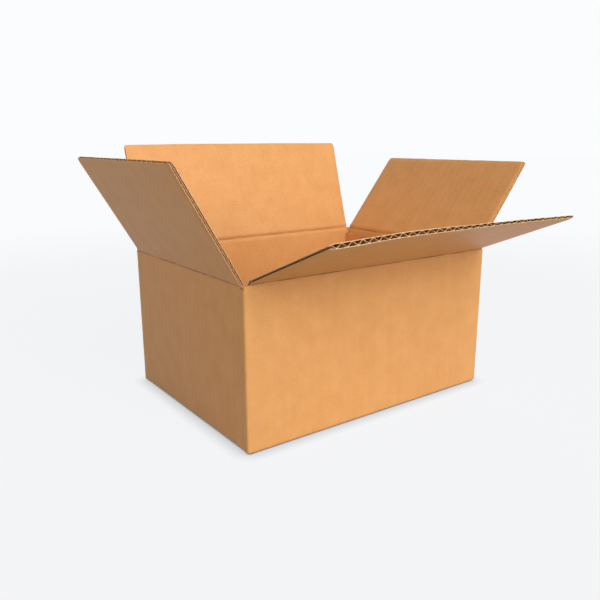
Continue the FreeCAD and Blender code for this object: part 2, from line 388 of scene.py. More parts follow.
@dataclass(frozen=True)
class KraftLiner:
    """Unbleached kraft liner, the brown paper that faces corrugated board.

    It is a calendered paper of long softwood fibres. The eye gets an even brown with a
    fine grain, a few dark shives, faint stripes where the glued crests draw the paper
    in, and a soft sheen at a grazing angle.
    """

    name: str
    base: str
    cloud: str
    shive: str
    # The colour of the shade painted along the crease.
    crease: str
    # How dark the painted crease shade is where it is faint and where it is strong.
    crease_shade_depths: tuple[float, float] = (0.15, 0.95)
    # Formation clouds of about 14 mm.
    clouds: Mottle = Mottle(14.0, 14.0, 3.0, 0.35, 0.65, 0.0, 1.0)
    # The grain is 0.1 mm in the paper. It is drawn at 0.6 mm, or the render loses it.
    grain: Mottle = Mottle(0.6, 0.55, 2.0, 0.25, 0.75, 0.92, 1.075)
    # Real fibres are 2.4 mm by 0.03 mm. They are drawn 0.4 mm wide for the same reason.
    fibres: Mottle = Mottle(2.4, 0.4, 1.0, 0.3, 0.7, 0.97, 1.03)
    # Uneven glueing shows as streaks a flute wide that run down the sheet.
    streaks: Mottle = Mottle(PITCH * 0.8, 90.0, 2.0, 0.3, 0.7, 0.985, 1.012)
    # Shives are dark splinters of bark.
    shives: Mottle = Mottle(1.3, 0.5, 0.0, 0.72, 0.82, 0.0, 0.32)
    # The painted crease shade is stronger in some places than in others, as the creasing bar
    # pressed harder there.
    crease_shade_strength: Mottle = Mottle(22.0, 60.0, 2.0, 0.38, 0.60, 0.0, 1.0)
    # Heights of the washboard and the grain in mm.
    washboard: float = 0.03
    grain_relief: float = 0.012
    roughness: float = 0.44
    # Cellulose has 1.5, but the paper is half air, so it shines only at a grazing angle.
    ior: float = 1.25

    def make(self) -> bpy.types.Material:
        """Build the material's nodes.

        Returns:
            The material.
        """
        material, tree = new_material(self.name)
        place = add_node(tree, "ShaderNodeAttribute", attribute_name=SHEET_PLACE)
        sheet = place.outputs["Vector"]
        parts = add_node(tree, "ShaderNodeSeparateXYZ", links={0: sheet})
        along, height = parts.outputs[0], parts.outputs[2]

        tone = self.grain.draw(tree, sheet)
        for pattern in (self.fibres, self.streaks):
            tone = add_node(tree, "ShaderNodeMath", operation="MULTIPLY", links={
                0: tone, 1: pattern.draw(tree, sheet)}).outputs[0]
        clouded = add_node(tree, "ShaderNodeMix", data_type="RGBA", links={
            0: self.clouds.draw(tree, sheet)},
            values={6: linear(self.base), 7: linear(self.cloud)})
        grained = add_node(tree, "ShaderNodeVectorMath", operation="SCALE", links={
            0: clouded.outputs[2], "Scale": tone})
        colour = grained.outputs[0]
        # The shives are the paper's own specks; the crease colour paints the shade of the fold.
        for mask, paint in ((self.shives.draw(tree, sheet), self.shive),
                            (self.crease_shade_mask(tree, sheet, height), self.crease)):
            colour = add_node(tree, "ShaderNodeMix", data_type="RGBA", links={
                0: mask, 6: colour}, values={7: linear(paint)}).outputs[2]
        close_paper(tree, colour, self.relief(tree, along, tone),
                    {"Roughness": self.roughness, "IOR": self.ior})
        return material

    def crease_shade_mask(self, tree: bpy.types.NodeTree, sheet: bpy.types.NodeSocket,
                    height: bpy.types.NodeSocket) -> bpy.types.NodeSocket:
        """Paint the crease's shade: a thin dark stroke, stronger in some places than in others,
        in a faint wider band.

        Args:
            tree: The material's node tree.
            sheet: The place on the sheet, in metres.
            height: The distance from the crease along the sheet, in metres.

        Returns:
            The socket of the mask.
        """
        faint, strong = self.crease_shade_depths
        distance = add_node(tree, "ShaderNodeMath", operation="ABSOLUTE", links={0: height})
        depth = add_node(tree, "ShaderNodeMapRange", links={
            0: self.crease_shade_strength.draw(tree, sheet)}, values={3: faint, 4: strong})
        # A thin dark stroke of painted shade in the crease's valley, fading out from 0.1 to 0.5
        # mm.
        line = add_node(tree, "ShaderNodeMapRange", links={
            0: distance.outputs[0], 3: depth.outputs[0]},
            values={1: 0.1 * MM, 2: 0.5 * MM, 4: 0.0})
        # A faint band of painted shade that fades out 2.2 mm from the crease.
        shade_band = add_node(tree, "ShaderNodeMapRange", links={0: distance.outputs[0]},
                          values={1: 0.3 * MM, 2: 2.2 * MM, 3: 0.10, 4: 0.0})
        total = add_node(tree, "ShaderNodeMath", operation="ADD", links={
            0: line.outputs[0], 1: shade_band.outputs[0]})
        return total.outputs[0]

    def relief(self, tree: bpy.types.NodeTree, along: bpy.types.NodeSocket,
               tone: bpy.types.NodeSocket) -> bpy.types.NodeSocket:
        """Add up the washboard and the grain as a height in metres.

        Args:
            tree: The material's node tree.
            along: The place along the unrolled sheet, in metres.
            tone: The tone of the grain and fibres.

        Returns:
            The socket of the height.
        """
        phase = add_node(tree, "ShaderNodeMath", operation="MULTIPLY", links={0: along},
                         values={1: 2 * math.pi / (PITCH * MM)})
        wave = add_node(tree, "ShaderNodeMath", operation="COSINE", links={0: phase.outputs[0]})
        swell = add_node(tree, "ShaderNodeMath", operation="MULTIPLY",
                         links={0: wave.outputs[0]}, values={1: -self.washboard * MM / 2})
        total = add_node(tree, "ShaderNodeMath", operation="MULTIPLY_ADD", links={
            0: tone, 2: swell.outputs[0]}, values={1: self.grain_relief * 4 * MM})
        return total.outputs[0]


@dataclass(frozen=True)
class FlutingPaper:
    """Fluting paper, the thin waste-based sheet inside the board, rough and unglazed."""

    name: str
    base: str
    shade: str
    roughness: float = 0.9

    def make(self) -> bpy.types.Material:
        """Build the material's nodes.

        Returns:
            The material.
        """
        material, tree = new_material(self.name)
        place = add_node(tree, "ShaderNodeAttribute", attribute_name=SHEET_PLACE)
        sheet = place.outputs["Vector"]
        # Fuzz of 0.4 mm on a cut edge and flecks of 1.5 mm in the sheet.
        fuzz = add_node(tree, "ShaderNodeTexNoise", links={"Vector": sheet},
                        values={"Scale": 1 / (0.4 * MM), "Detail": 3.0})
        fleck = add_node(tree, "ShaderNodeTexNoise", links={"Vector": sheet},
                         values={"Scale": 1 / (1.5 * MM), "Detail": 2.0})
        mask = add_node(tree, "ShaderNodeMapRange", links={0: fleck.outputs[0]},
                        values={1: 0.35, 2: 0.65, 3: 0.0, 4: 1.0})
        colour = add_node(tree, "ShaderNodeMix", data_type="RGBA",
                          links={0: mask.outputs[0]},
                          values={6: linear(self.base), 7: linear(self.shade)})
        height = add_node(tree, "ShaderNodeMath", operation="MULTIPLY",
                          links={0: fuzz.outputs[0]}, values={1: 0.03 * MM})
        close_paper(tree, colour.outputs[2], height.outputs[0], {
            "Roughness": self.roughness, "IOR": 1.5, "Specular IOR Level": 0.3})
        return material


class Paper(Enum):
    """The papers of the board, in the order of a piece's material slots."""

    OUTER = 0
    INNER = 1
    FLUTED = 2
    CUT = 3


def mark_cut(piece: bpy.types.Object, wanted: Callable[..., bool]) -> None:
    """Give the faces that a test wants the material of a cut edge."""
    for face in piece.data.polygons:
        if wanted(face):
            face.material_index = Paper.CUT.value


@dataclass
class BoardFinish:
    """The four materials that every piece of board shares."""

    # Each liner's crease colour paints the shade of its fold, fainter on the inside.
    outer: KraftLiner = KraftLiner(
        "kraft liner outside", base="#E2A566", cloud="#DD9F60", shive="#8A5A34",
        crease="#6E3418")
    inner: KraftLiner = KraftLiner(
        "kraft liner inside", base="#E1A466", cloud="#DC9E60", shive="#8A5A34",
        crease="#7A4420", crease_shade_depths=(0.1, 0.45), washboard=0.05)
    fluted: FlutingPaper = FlutingPaper(
        "fluting paper", base="#C08B58", shade="#A97546")
    cut: FlutingPaper = FlutingPaper(
        "cut edge of board", base="#EACDA2", shade="#D2AB7C")
    made: list[bpy.types.Material] = field(default_factory=list)

    def prepare(self) -> None:
        """Build the four materials once, in the order of the slots."""
        self.made = [paper.make() for paper in (self.outer, self.inner, self.fluted, self.cut)]

    def dress(self, piece: bpy.types.Object) -> None:
        """Give a piece the four material slots in their order."""
        piece.data.materials.clear()
        for material in self.made:
            piece.data.materials.append(material)


@dataclass
class CorrugatedBoard:
    """One flat panel of board in its own frame, with its flutes upright.

    X runs along the crease, Y from the outside facing at 0 to the inside facing, and Z
    from the crease at 0 up to the free edge. All sizes are in millimetres.
    """

    name: str
    span: float
    rows: Sequence[float]
    unrolled: float
    finish: BoardFinish
    thickness: float = BOARD
    columns: int = 12
    # Where extra columns let the slotted edges be pressed, in from the edge.
    edge_cuts: Sequence[float] = (0.7, 1.5, 2.6, 4.0)
    # The board's mesh: first one flute, and then the whole panel.
    panel: bpy.types.Object | None = None

    @property
    def reach(self) -> float:
        """Return the height of the last row, where the board ends."""
        return self.rows[-1]

    def ribbon(self, paper: Paper, low: float, thick: float, pieces: int) -> bpy.types.Object:
        """Lay one paper's section over one flute, in the level plane of the first row.

        Args:
            paper: Which paper it is.
            low: The lower side of the section in Y.
            thick: How thick the paper is.
            pieces: How many faces it has along the flute pitch.

        Returns:
            The new flat mesh.
        """
        middle = Vector((PITCH / 2, low + thick / 2, self.rows[0])) * MM
        clear_selection()
        bpy.ops.mesh.primitive_grid_add(x_subdivisions=pieces, y_subdivisions=1, size=1.0,
                                        location=middle)
        section = bpy.context.object
        self.finish.dress(section)
        with shaping(section):
            bpy.ops.transform.resize(value=(PITCH * MM, thick * MM, 1.0),
                                     center_override=middle)
        bpy.ops.object.transform_apply(location=True, rotation=True, scale=True)
        for face in section.data.polygons:
            face.material_index = paper.value
        return section

    def flute(self) -> None:
        """Model one flute with its two facings, open at both ends so that copies join up."""
        outer = self.ribbon(Paper.OUTER, 0.0, LINER, 2)
        inner = self.ribbon(Paper.INNER, self.thickness - LINER, LINER, 2)
        fluted = self.ribbon(Paper.FLUTED, (self.thickness - FLUTING) / 2, FLUTING,
                             self.columns)
        swing = (self.thickness - 2 * LINER - FLUTING) / 2
        with shaping(fluted):
            for column in range(self.columns + 1):
                place = PITCH * column / self.columns
                pick("VERT", lambda vert: near(vert.co.x / MM, place))
                move_selection(y=-swing * math.cos(2 * math.pi * column / self.columns))
        self.panel = join(self.name, outer, inner, fluted)
        with shaping(self.panel):
            bpy.ops.mesh.select_mode(type="FACE")
            bpy.ops.mesh.select_all(action="SELECT")
            for lower, upper in zip(self.rows, self.rows[1:]):
                extrude(upper - lower)
            pick("FACE", lambda face: near(abs(face.calc_center_median().x / MM - PITCH / 2),
                                           PITCH / 2))
            bpy.ops.mesh.delete(type="ONLY_FACE")
        # Each point keeps its depth and height on the flat sheet, before it is folded.
        marks = self.panel.data.attributes.new(SHEET_PLACE, "FLOAT_VECTOR", "POINT")
        for mark, vert in zip(marks.data, self.panel.data.vertices):
            mark.vector = (0.0, vert.co.y, vert.co.z)

    def squeeze(self, pressed: dict[float, float]) -> None:
        """Press rows of the flute towards the outside facing, as a creasing bar does.

        Args:
            pressed: For each row's height, the share of the thickness that is left.
        """
        with shaping(self.panel):
            for height, share in pressed.items():
                pick("VERT", lambda vert: near(vert.co.z / MM, height))
                bpy.ops.transform.resize(value=(1.0, share, 1.0),
                                         center_override=(0.0, 0.0, height * MM))

    def fold(self, lean: float, half_band: float) -> None:
        """Fold the panel outwards about the crease, row by row through the crease band.

        Args:
            lean: The angle of the fold in degrees.
            half_band: Half the height of the band that bends.
        """
        with shaping(self.panel):
            for height in self.rows:
                share = min(max((height + half_band) / (2 * half_band), 0.0), 1.0)
                share = share * share * (3 - 2 * share)
                if 0.0 < share < 1.0:
                    pick("VERT", lambda vert: near(vert.co.z / MM, height))
                    turn_selection(lean * share, "X")
            net = bmesh.from_edit_mesh(self.panel.data)
            layer = net.verts.layers.float_vector[SHEET_PLACE]
            pick("VERT", lambda vert: vert[layer].z / MM > half_band - SAME)
            turn_selection(lean, "X")

    def run_flutes(self) -> None:
        """Repeat the flute along the panel and saw the panel to its span."""
        # The flutes run through the whole sheet, so they keep step with its place on it.
        start = -self.span / 2 - (self.unrolled - self.span / 2) % PITCH
        count = math.ceil((self.span / 2 - start) / PITCH)
        with shaping(self.panel):
            move_selection(x=start)
        apply_modifier(self.panel, "ARRAY", count=count, use_relative_offset=False,
                       use_constant_offset=True, constant_offset_displace=(PITCH * MM, 0, 0),
                       use_merge_vertices=True, merge_threshold=0.01 * MM)
        with shaping(self.panel):
            for way in (-1.0, 1.0):
                saw((way * self.span / 2, 0.0, 0.0), (way, 0.0, 0.0))
                for inset in self.edge_cuts:
                    saw((way * (self.span / 2 - inset), 0.0, 0.0), (way, 0.0, 0.0),
                        waste=False)
        mark_cut(self.panel, lambda face: abs(face.normal.x) > FACING)
        marks = self.panel.data.attributes[SHEET_PLACE]
        for mark, vert in zip(marks.data, self.panel.data.vertices):
            mark.vector = (self.unrolled * MM + vert.co.x, mark.vector.y, mark.vector.z)

    def press(self, low: Sequence[float], high: Sequence[float],
              shares: Sequence[Sequence[float]], rest_on: float = 0.5) -> None:
        """Crush a part of the flat panel with a lattice.

        Args:
            low: The lowest X and Z of the part.
            high: The highest X and Z of the part.
            shares: The share of the thickness that is left, by rows and columns.
            rest_on: The depth that stays in place, from 0 outside to 1 inside.
        """
        inside = 0.05
        with shaping(self.panel):
            pick("VERT", lambda vert: low[0] - inside < vert.co.x / MM < high[0] + inside
                 and low[1] - inside < vert.co.z / MM < high[1] + inside)
            bpy.ops.object.vertex_group_assign_new()
        middle = Vector(((low[0] + high[0]) / 2, self.thickness / 2, (low[1] + high[1]) / 2))
        size = Vector((high[0] - low[0], self.thickness, high[1] - low[1])) * MM
        box = Matrix.Translation(middle * MM) @ Matrix.Diagonal((*size, 1.0))
        still = rest_on - 0.5
        bend(self.panel, box, shares, lambda depth, share: still + (depth - still) * share,
             self.panel.vertex_groups[-1].name)
        self.panel.vertex_groups.clear()


@dataclass
class TopFlap:
    """A top flap: one sheet with the strip of wall below its crease."""

    side: Side
    lean: float
    finish: BoardFinish
    # How far the fold that shows is above the hinge line.
    rise: float = 0.0
    # Outward bow in mm, by rows from the crease up and by columns along the crease.
    bow: Sequence[Sequence[float]] = ()
    # Chamfer of the two worn corners, left and right, in mm.
    worn: tuple[float, float] = (0.8, 0.8)
    # How much shorter the sheet is than the solid flap, so that its bow has room.
    trim: float = 0.0
    # The share of the board's thickness that is left along the slots.
    slot_share: float = 0.58
    # The same along the free edge, by columns from left to right.
    free_shares: Sequence[float] = (0.8, 0.8, 0.8, 0.8, 0.8)
    # How far the outer liner has peeled along the free edge from its left corner.
    peeled: float = 0.0

    # Half the height of the band that bends.
    HALF_BAND = 0.9
    # The share of the thickness that the creasing bar leaves, by height.
    PRESSED = {0.0: 0.62, 0.45: 0.70, -0.45: 0.70, 0.9: 0.86, -0.9: 0.86, 1.5: 0.96, -1.5: 0.96}
    # Rows of points by the fold, and how far in from the free edge its rows are.
    FOLD_ROWS = (-1.5, -0.9, -0.45, 0.0, 0.45, 0.9, 1.5, 2.6, 4.5)
    EDGE_INSETS = (5.0, 3.2, 1.8, 0.7, 0.0)
    # The rows between them are even, and keep this far from the fold and the edge.
    MARGIN = 8.0
    STEPS = 10
    # The knife that cuts a slot stops this far from the crease.
    SLOT_END = 2.6

    def shape(self) -> tuple[float, float]:
        """Return the lean and reach that keep the free edge where the CAD has it."""
        angle = math.radians(self.lean)
        out = self.side.reach * math.sin(angle)
        up = self.side.reach * math.cos(angle) - self.rise
        return math.degrees(math.atan2(out, up)), math.hypot(out, up) - self.trim

    def build(self) -> None:
        """Model the flap, fold it and put it on its wall."""
        lean, reach = self.shape()
        above = [self.MARGIN + (reach - 2 * self.MARGIN) * step / self.STEPS
                 for step in range(self.STEPS + 1)]
        edge = [reach - inset for inset in self.EDGE_INSETS]
        rows = [-STRIP - self.rise, *self.FOLD_ROWS, *above, *edge]
        board = CorrugatedBoard(f"{self.side.body}_flap_board", self.side.span, rows,
                                self.side.unrolled, self.finish)
        board.flute()
        mark_cut(board.panel, lambda face: near(face.center.z / MM, reach))
        board.squeeze(self.PRESSED)
        board.run_flutes()
        self.wear(board)
        self.crush_edges(board)
        self.peel(board)
        board.fold(lean, self.HALF_BAND)
        if self.bow:
            self.warp(board, lean)
        settle(board.panel, self.side.turn, self.side.crease_point(-self.rise))
        finish_surface(board.panel)
        self.hang(board.panel)

    def wear(self, board: CorrugatedBoard) -> None:
        """Take a small chamfer off each free corner of the flat board."""
        with shaping(board.panel):
            for way, size in zip((-1.0, 1.0), self.worn):
                saw((way * board.span / 2, 0.0, board.reach - size), (way, 0.0, 0.8))
        mark_cut(board.panel, lambda face: abs(face.normal.x) > 0.3 and face.normal.z > 0.3)

    def crush_edges(self, board: CorrugatedBoard) -> None:
        """Press the slotted edges and the free edge, as the knives leave them.

        Args:
            board: The flat board.
        """
        half = board.span / 2
        width = board.edge_cuts[-1]
        slotted = (1.0, 0.97, 0.86, 0.70, self.slot_share)
        board.press((half - width, self.SLOT_END), (half, board.reach), (slotted,) * 2)
        board.press((-half, self.SLOT_END), (width - half, board.reach), (slotted[::-1],) * 2)
        edge = self.uneven(self.free_shares)
        whole = (1.0,) * len(edge)
        part = tuple(0.5 + share / 2 for share in edge)
        board.press((-half, board.reach - self.EDGE_INSETS[0]), (half, board.reach),
                    (whole, whole, part, edge))

    def peel(self, board: CorrugatedBoard) -> None:
        """Show the pale inside of the outer liner where its corner has peeled.

        Args:
            board: The flat board.
        """
        def torn(face: bpy.types.MeshPolygon) -> bool:
            """Tell whether a face lies in the tear, which is deepest at the corner."""
            along = face.center.x / MM + board.span / 2
            depth = 2.0 - 1.4 * along / max(self.peeled, 1.0)
            return (face.material_index == Paper.OUTER.value and along < self.peeled
                    and face.center.z / MM > board.reach - depth)

        mark_cut(board.panel, torn)

    def uneven(self, shares: Sequence[float]) -> tuple[float, ...]:
        """Divide shares into one for each flute, no two alike, as a dull knife leaves them.

        Args:
            shares: The shares, evenly spaced along the edge.

        Returns:
            The shares by flutes.
        """
        chance = random.Random(self.side.body)
        count = round(self.side.span / PITCH)
        edge = []
        for number in range(count):
            place = (len(shares) - 1) * number / (count - 1)
            left = min(int(place), len(shares) - 2)
            share = shares[left] + (place - left) * (shares[left + 1] - shares[left])
            edge.append(min(share + chance.uniform(-0.10, 0.08), 1.0))
        return tuple(edge)

    def warp(self, board: CorrugatedBoard, lean: float) -> None:
        """Bow the flap with a lattice that leans as it does.

        Args:
            board: The folded board, before it is placed.
            lean: The fold's angle in degrees.
        """
        tilt = Matrix.Rotation(math.radians(lean), 4, "X")
        middle = tilt @ Vector((0.0, BOARD / 2, board.reach / 2))
        box = (Matrix.Translation(middle * MM) @ tilt @
               Matrix.Diagonal((board.span * MM, BOARD * MM, board.reach * MM, 1)))
        bend(board.panel, box, self.bow, lambda depth, bow: depth - bow / BOARD)

    def hang(self, panel: bpy.types.Object) -> None:
        """Bake the sheet's place into its mesh and hide the CAD flap that it stands in for."""
        half = math.radians(self.lean) / 2
        along = self.side.outward() * math.sin(half) + Vector((0.0, 0.0, math.cos(half)))
        middle = self.side.crease_point(-self.rise)
        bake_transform(panel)
        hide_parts(f"{self.side.body}_flap")


@dataclass
class CartonWalls:
    """The ring of four walls, with its folded corners, slot ends and glued joint."""

    finish: BoardFinish
    corner_radius: float = 1.5
    bend_radius: float = 2.0
    seam_mouth: float = 1.2
    seam_depth: float = 1.4
    rim_recess: float = 0.7
    # Where the feet of the walls begin, above the bends of the bottom folds.
    foot_top: float = 4.0
    # The slots of the bottom end this far above the floor.
    corner_height: float = 1.3

    def build(self) -> None:
        """Model the walls."""
        low = self.foot_top
        high = SHORT_CREASE - STRIP
        clear_selection()
        bpy.ops.mesh.primitive_cube_add(size=1.0, location=(0.0, 0.0, (low + high) / 2 * MM))
        ring = bpy.context.object
        ring.name = "carton_walls"
        with shaping(ring):
            bpy.ops.transform.resize(value=(LENGTH * MM, WIDTH * MM, (high - low) * MM),
                                     center_override=(0.0, 0.0, (low + high) / 2 * MM))
            pick("FACE", lambda face: abs(face.normal.z) > FACING)
            bpy.ops.mesh.delete(type="FACE")
        bpy.ops.object.transform_apply(location=True, rotation=True, scale=True)
        apply_modifier(ring, "SOLIDIFY", thickness=BOARD * MM, offset=-1.0,
                       use_even_offset=True, use_rim=True)
        with shaping(ring):
            self.fold_corners()
            self.open_seam()
            self.divide()
            self.raise_rims()
            self.fold_feet()
        self.finish.dress(ring)
        self.paint(ring)
        fix_to_carton(ring)

    def fold_corners(self) -> None:
        """Round the three folded corners, all but the one with the raw edge."""
        def folded(edge: bmesh.types.BMEdge) -> bool:
            """Pick an outside upright corner of the ring."""
            first, second = (vert.co / MM for vert in edge.verts)
            upright = near(first.x, second.x) and near(first.y, second.y)
            outside = near(abs(first.x), LENGTH / 2) and near(abs(first.y), WIDTH / 2)
            return upright and outside and not (first.x > 0 and first.y > 0)

        pick("EDGE", folded)
        bpy.ops.mesh.bevel(offset=self.corner_radius * MM, segments=4, affect="EDGES",
                           clamp_overlap=False)

    def open_seam(self) -> None:
        """Groove the back beside the right wall's raw edge."""
        seam = LENGTH / 2 - BOARD
        for place in (seam - self.seam_mouth / 2, seam, seam + self.seam_mouth / 2):
            saw((place, 0.0, 0.0), (1.0, 0.0, 0.0), waste=False)
        pick("VERT", lambda vert: near(vert.co.x / MM, seam) and near(vert.co.y / MM, WIDTH / 2))
        move_selection(y=-self.seam_depth)

    def divide(self) -> None:
        """Cut the ring where the flaps end, so that rims can be raised between."""
        for way in (-1.0, 1.0):
            saw((way * LONG_SPAN / 2, 0.0, 0.0), (1.0, 0.0, 0.0), waste=False)
            saw((0.0, way * SHORT_SPAN / 2, 0.0), (0.0, 1.0, 0.0), waste=False)

    def raise_rims(self) -> None:
        """Raise the rim to the strips of the long flaps and the corners to the slots."""
        def rim(face: bmesh.types.BMFace, height: float) -> bool:
            """Tell whether a face is level and at a height."""
            return face.normal.z > FACING and near(face.calc_center_median().z / MM, height)

        low = SHORT_CREASE - STRIP
        high = LONG_CREASE - STRIP
        pick("FACE", lambda face: rim(face, low) and not self.in_short_span(face))
        extrude(high - low)
        pick("FACE", lambda face: rim(face, high) and not self.in_long_span(face))
        extrude(WALL - high)
        pick("FACE", lambda face: rim(face, WALL))
        bpy.ops.mesh.inset(thickness=LINER * MM, use_boundary=True, use_even_offset=True)
        extrude(-self.rim_recess)

    def in_short_span(self, face: bmesh.types.BMFace) -> bool:
        """Tell whether a rim face lies under a short flap."""
        middle = face.calc_center_median() / MM
        return abs(middle.x) > LENGTH / 2 - BOARD and abs(middle.y) < SHORT_SPAN / 2

    def in_long_span(self, face: bmesh.types.BMFace) -> bool:
        """Tell whether a rim face lies under a long flap."""
        middle = face.calc_center_median() / MM
        return abs(middle.y) > WIDTH / 2 - BOARD and abs(middle.x) < LONG_SPAN / 2

    def fold_feet(self) -> None:
        """Take the walls down to their bottom folds and round the folds."""
        def foot(face: bmesh.types.BMFace) -> bool:
            """Tell whether a face is the underside of the ring."""
            return face.normal.z < -FACING and near(
                face.calc_center_median().z / MM, self.foot_top)

        depths = (
            (self.in_long_span, self.foot_top),
            (self.in_short_span, self.foot_top - FOLD_HEIGHT),
            (lambda face: True, self.foot_top - self.corner_height),
        )
        for wanted, depth in depths:
            pick("FACE", lambda face: foot(face) and wanted(face))
            extrude(-depth)

        def bottom_fold(edge: bmesh.types.BMEdge) -> bool:
            """Pick the outside lower edges of the four walls, between the slots."""
            first, second = (vert.co / MM for vert in edge.verts)
            middle = (first + second) / 2
            long_wall = near(abs(middle.y), WIDTH / 2) and near(first.y, second.y)
            short_wall = near(abs(middle.x), LENGTH / 2) and near(first.x, second.x)
            level = near(first.z, second.z)
            return level and ((long_wall and near(middle.z, 0.0)) or
                              (short_wall and near(middle.z, FOLD_HEIGHT)))

        pick("EDGE", bottom_fold)
        bpy.ops.mesh.bevel(offset=self.bend_radius * MM, segments=5, affect="EDGES",
                           clamp_overlap=False)

    def paint(self, ring: bpy.types.Object) -> None:
        """Mark the place on the sheet and the paper of each face of the ring."""
        marks = ring.data.attributes.new(SHEET_PLACE, "FLOAT_VECTOR", "CORNER")
        for face in ring.data.polygons:
            side = self.side_of(face)
            outward = side.outward()
            along = Vector((-outward.y, outward.x, 0.0))
            depth = side.out - face.center.dot(outward) / MM
            level = abs(face.normal.z) > FACING
            if level and face.center.z > 0.05:
                face.material_index = (Paper.FLUTED if near(
                    face.center.z / MM, WALL - self.rim_recess) else Paper.CUT).value
            else:
                face.material_index = (Paper.OUTER if depth < BOARD * 0.7 else
                                       Paper.INNER).value
            for corner in face.loop_indices:
                spot = ring.data.vertices[ring.data.loops[corner].vertex_index].co
                marks.data[corner].vector = (
                    side.unrolled * MM + spot.dot(along),
                    side.out * MM - spot.dot(outward),
                    spot.z - side.crease * MM)

    def side_of(self, face: bpy.types.MeshPolygon) -> Side:
        """Return the side whose wall a face belongs to."""
        middle = face.center / MM
        beside = abs(middle.x) - LENGTH / 2 > abs(middle.y) - WIDTH / 2
        if beside:
            return Side.RIGHT if middle.x > 0 else Side.LEFT
        return Side.BACK if middle.y > 0 else Side.FRONT


@dataclass
class BottomFlap:
    """A glued bottom flap, lying flat from the foot of its wall."""

    side: Side
    finish: BoardFinish

    def build(self) -> None:
        """Model the flap, lay it down and put it in place."""
        long_side = self.side in (Side.FRONT, Side.BACK)
        level = 0.0 if long_side else LAYER
        rows = [BOARD, BOARD + 10, self.side.reach - 10, self.side.reach - 0.8, self.side.reach]
        board = CorrugatedBoard(f"{self.side.body}_bottom_board", self.side.span, rows,
                                self.side.unrolled, self.finish)
        board.flute()
        mark_cut(board.panel, lambda face: near(face.center.z / MM, board.reach))
        board.run_flutes()
        panel = board.panel
        for mark in panel.data.attributes[SHEET_PLACE].data:
            mark.vector.z = -WALL * MM - mark.vector.z
        # The panel stands on its crease with its outside facing out. It is turned over
        # inwards, so that the outside facing comes to lie underneath.
        with shaping(panel):
            turn_selection(90.0, "X")
            turn_selection(180.0, "Z")
        place = self.side.outward() * self.side.out * MM
        place.z = level * MM
        settle(panel, self.side.turn, place)
        fix_to_carton(panel)


@dataclass
class GlueTab:
    """The glue tab of the back wall, pressed on the inside of the right wall."""

    finish: BoardFinish
    width: float = 22.0
    thickness: float = 2.4
    slant: float = 1.2
    corner: float = 3.0
    # It ends 0.15 mm below a closed short flap and 1 mm above the one at the bottom.
    top: float = SHORT_CREASE - BOARD - 0.15
    bottom: float = LAYER + BOARD + 1.0
    # The tab's middle on the unrolled sheet, past the 700 mm of the four walls.
    unrolled: float = 711.0
    # The share of the thickness that the glueing wheel leaves, from the free edge in.
    crushed: Sequence[float] = (0.45, 0.55, 0.75, 0.93, 1.0)

    def build(self) -> None:
        """Model the tab, crush its free edge and put it in its corner."""
        rows = [self.bottom, self.bottom + 20, self.bottom + 60, self.top - 1.0, self.top]
        board = CorrugatedBoard("glue_tab", self.width, rows, self.unrolled, self.finish,
                                thickness=self.thickness)
        board.flute()
        mark_cut(board.panel, lambda face: abs(face.normal.z) > FACING)
        board.run_flutes()
        panel = board.panel
        for mark in panel.data.attributes[SHEET_PLACE].data:
            mark.vector.z -= SHORT_CREASE * MM
        half = self.width / 2
        board.press((-half, self.bottom), (board.edge_cuts[-1] - half, self.top),
                    (self.crushed,) * 2, rest_on=1.0)
        self.trim_ends(panel)
        # Local X runs from the free edge to the fold, and local Y out through the wall.
        place = Vector((LENGTH / 2 - BOARD, WIDTH / 2 - BOARD - self.width / 2, 0.0))
        settle(panel, 90.0, place * MM)
        fix_to_carton(panel)

    def trim_ends(self, panel: bpy.types.Object) -> None:
        """Slant both ends towards the free edge and cut its corners round."""
        half = self.width / 2
        fall = self.slant / self.width
        with shaping(panel):
            for way, height in ((1.0, self.top), (-1.0, self.bottom)):
                slope = Vector((-fall, 0.0, way))
                saw((half, 0.0, height), slope)
                corner = Vector((-half, 0.0, height - way * self.slant))
                for degrees in (22.5, 45.0, 67.5):
                    angle = math.radians(degrees)
                    towards = Vector((-math.sin(angle), 0.0, way * math.cos(angle)))
                    centre = corner + Vector((self.corner, 0.0, -way * self.corner))
                    saw(centre + towards * self.corner, towards)
        mark_cut(panel, lambda face: abs(face.normal.y) < 0.2 and abs(face.normal.z) > 0.1)


